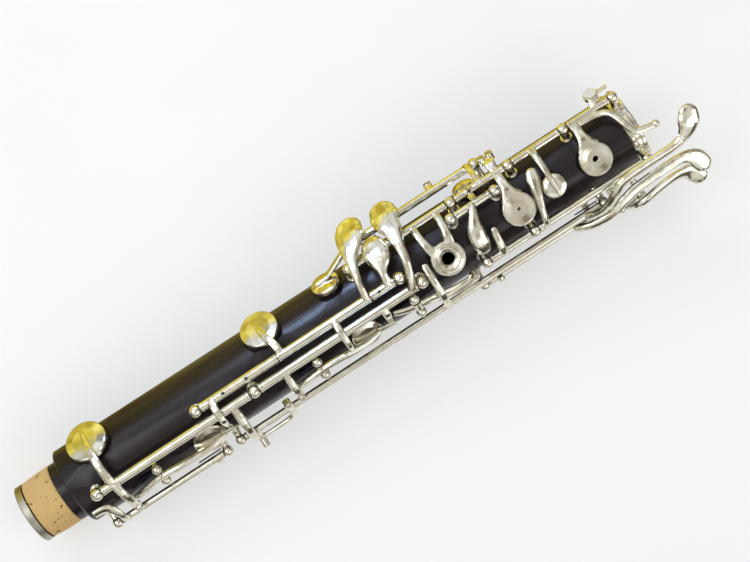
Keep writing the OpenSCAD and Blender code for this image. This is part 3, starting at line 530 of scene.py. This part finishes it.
def warm_card():
    """Golden surroundings beyond the joint, with one bright window, that only polished things see.

    It lies on the table from CARD_NEAR to CARD_FAR and stands up there."""
    mesh = bpy.data.meshes.new("warm_card")
    bottom, top = cad_low.z, cad_low.z + CARD_HEIGHT
    rows = [[(x, y, z if z else table_height(x, y) + 1 * MM) for x in CARD_X]
            for y, z in ((CARD_NEAR, None), (CARD_FAR, None), (CARD_FAR, top))]
    mesh.from_pydata([corner for row in rows for corner in row], [], [(0, 1, 3, 2), (2, 3, 5, 4)])
    card = bpy.data.objects.new("warm_card", mesh)
    scene.collection.objects.link(card)
    s = Shader("warm_card")
    streaks = s.noise(s.stretch(26, 26, 40), detail=3)
    gold = s.ramp(streaks, GOLD_STOPS)
    height = s.axis("Z", bottom, top)
    color = s.multiply(gold, s.ramp(height, GOLD_BY_HEIGHT))
    wall = s.ramp(streaks, WALL_STOPS)
    above_gold = s.ramp(height, WALL_BY_HEIGHT)
    color = s.add(color, s.multiply(wall, above_gold))
    color = s.multiply(color, s.ramp(s.axis("Y", CARD_NEAR, CARD_FAR), GOLD_BY_REACH))
    across_window = s.ramp(s.axis("X", *WINDOW_X), WINDOW_STOPS)
    up_window = s.ramp(s.axis("Z", *WINDOW_Z), WINDOW_STOPS)
    pane = s.multiply(across_window, up_window)
    color = s.add(color, s.multiply(pane, WINDOW_COLOR))
    s.set(Base_Color=(0, 0, 0, 1), Emission_Color=color, Emission_Strength=1.0, Roughness=1.0)
    dress(card, s.material)
    card.visible_camera = False
    card.visible_diffuse = False
    card.visible_shadow = False


HEIGHT_STOPS = [(0.0, (0.22, 0.19, 0.13)), (0.22, (0.05, 0.045, 0.035)), (0.42, (0.20, 0.18, 0.14)),
                (0.60, (0.80, 0.79, 0.74)), (0.8, (0.86, 0.85, 0.82)), (1.0, (0.58, 0.57, 0.53))]
PATCH_STOPS = [(0.38, (0.35, 0.31, 0.24)), (0.5, (0.90, 0.89, 0.86)), (0.62, (1.15, 1.15, 1.15))]
PATCH_SCALE, PATCH_DETAIL = 2.2, 1.5
ROOM_STRENGTH = 1.05


def room_light():
    """A pale, uneven ceiling over a dark horizon, so that curved silver has something to show."""
    world = bpy.data.worlds.new("room")
    scene.world = world
    world.use_nodes = True
    tree = world.node_tree
    coord = tree.nodes.new("ShaderNodeTexCoord").outputs["Generated"]
    split = tree.nodes.new("ShaderNodeSeparateXYZ")
    tree.links.new(coord, split.inputs[0])
    by_height = tree.nodes.new("ShaderNodeValToRGB")
    tree.links.new(split.outputs["Z"], by_height.inputs["Fac"])
    patches = tree.nodes.new("ShaderNodeTexNoise")
    patches.inputs["Scale"].default_value = PATCH_SCALE
    patches.inputs["Detail"].default_value = PATCH_DETAIL
    tree.links.new(coord, patches.inputs["Vector"])
    by_patch = tree.nodes.new("ShaderNodeValToRGB")
    tree.links.new(patches.outputs["Fac"], by_patch.inputs["Fac"])
    fill_stops(by_height, HEIGHT_STOPS)
    fill_stops(by_patch, PATCH_STOPS)
    both = tree.nodes.new("ShaderNodeMix")
    both.data_type, both.blend_type = "RGBA", "MULTIPLY"
    factor, first, second = (both.inputs[key] for key in MIX_SOCKETS)
    factor.default_value = 1.0
    tree.links.new(by_height.outputs["Color"], first)
    tree.links.new(by_patch.outputs["Color"], second)
    tree.links.new(both.outputs[MIX_RESULT], tree.nodes["Background"].inputs["Color"])
    tree.nodes["Background"].inputs["Strength"].default_value = ROOM_STRENGTH


warm_card()
area_light("window", (-0.02, 0.78, 0.46), 0.36, 0.26, 2.2, (0.80, 0.90, 1.0))
area_light("soft_left", (-0.5, 0.55, 0.9), 0.6, 0.6, 3.0, (0.97, 0.98, 1.0))
area_light("room", (0.5, -0.6, 0.8), 0.9, 0.6, 2.5, (0.97, 0.98, 1.0))
room_light()


# ---------- camera ----------

DISTANCE = 0.65         # from the camera to the joint's axis
ROLL = math.radians(33.16)      # the joint's slope across the picture
LEAN = math.radians(-14)        # the camera's turn about the joint, from straight above its finger keys
PIXELS_PER_METRE = 2860         # at the joint's axis
IMAGE_WIDTH = 750
SENSOR = 36             # millimetres
AIM_ALONG, AIM_ACROSS = 0.1452, 0.0027      # the picture's middle, along and across the joint

back = Vector((0, -math.sin(LEAN), math.cos(LEAN)))
along = Vector((1, 0, 0))
across = back.cross(along)
right = along * math.cos(ROLL) - across * math.sin(ROLL)
up = along * math.sin(ROLL) + across * math.cos(ROLL)
aim = Vector((AIM_ALONG, 0, 0)) + across * AIM_ACROSS

camera_data = bpy.data.cameras.new("camera")
camera = bpy.data.objects.new("camera", camera_data)
scene.collection.objects.link(camera)
scene.camera = camera
camera_data.sensor_width = SENSOR
camera_data.lens = SENSOR * PIXELS_PER_METRE * DISTANCE / IMAGE_WIDTH
camera.rotation_mode = "QUATERNION"
camera.rotation_quaternion = Matrix((right, up, back)).transposed().to_quaternion()
camera.location = aim + back * DISTANCE
camera_data.clip_start = 0.01
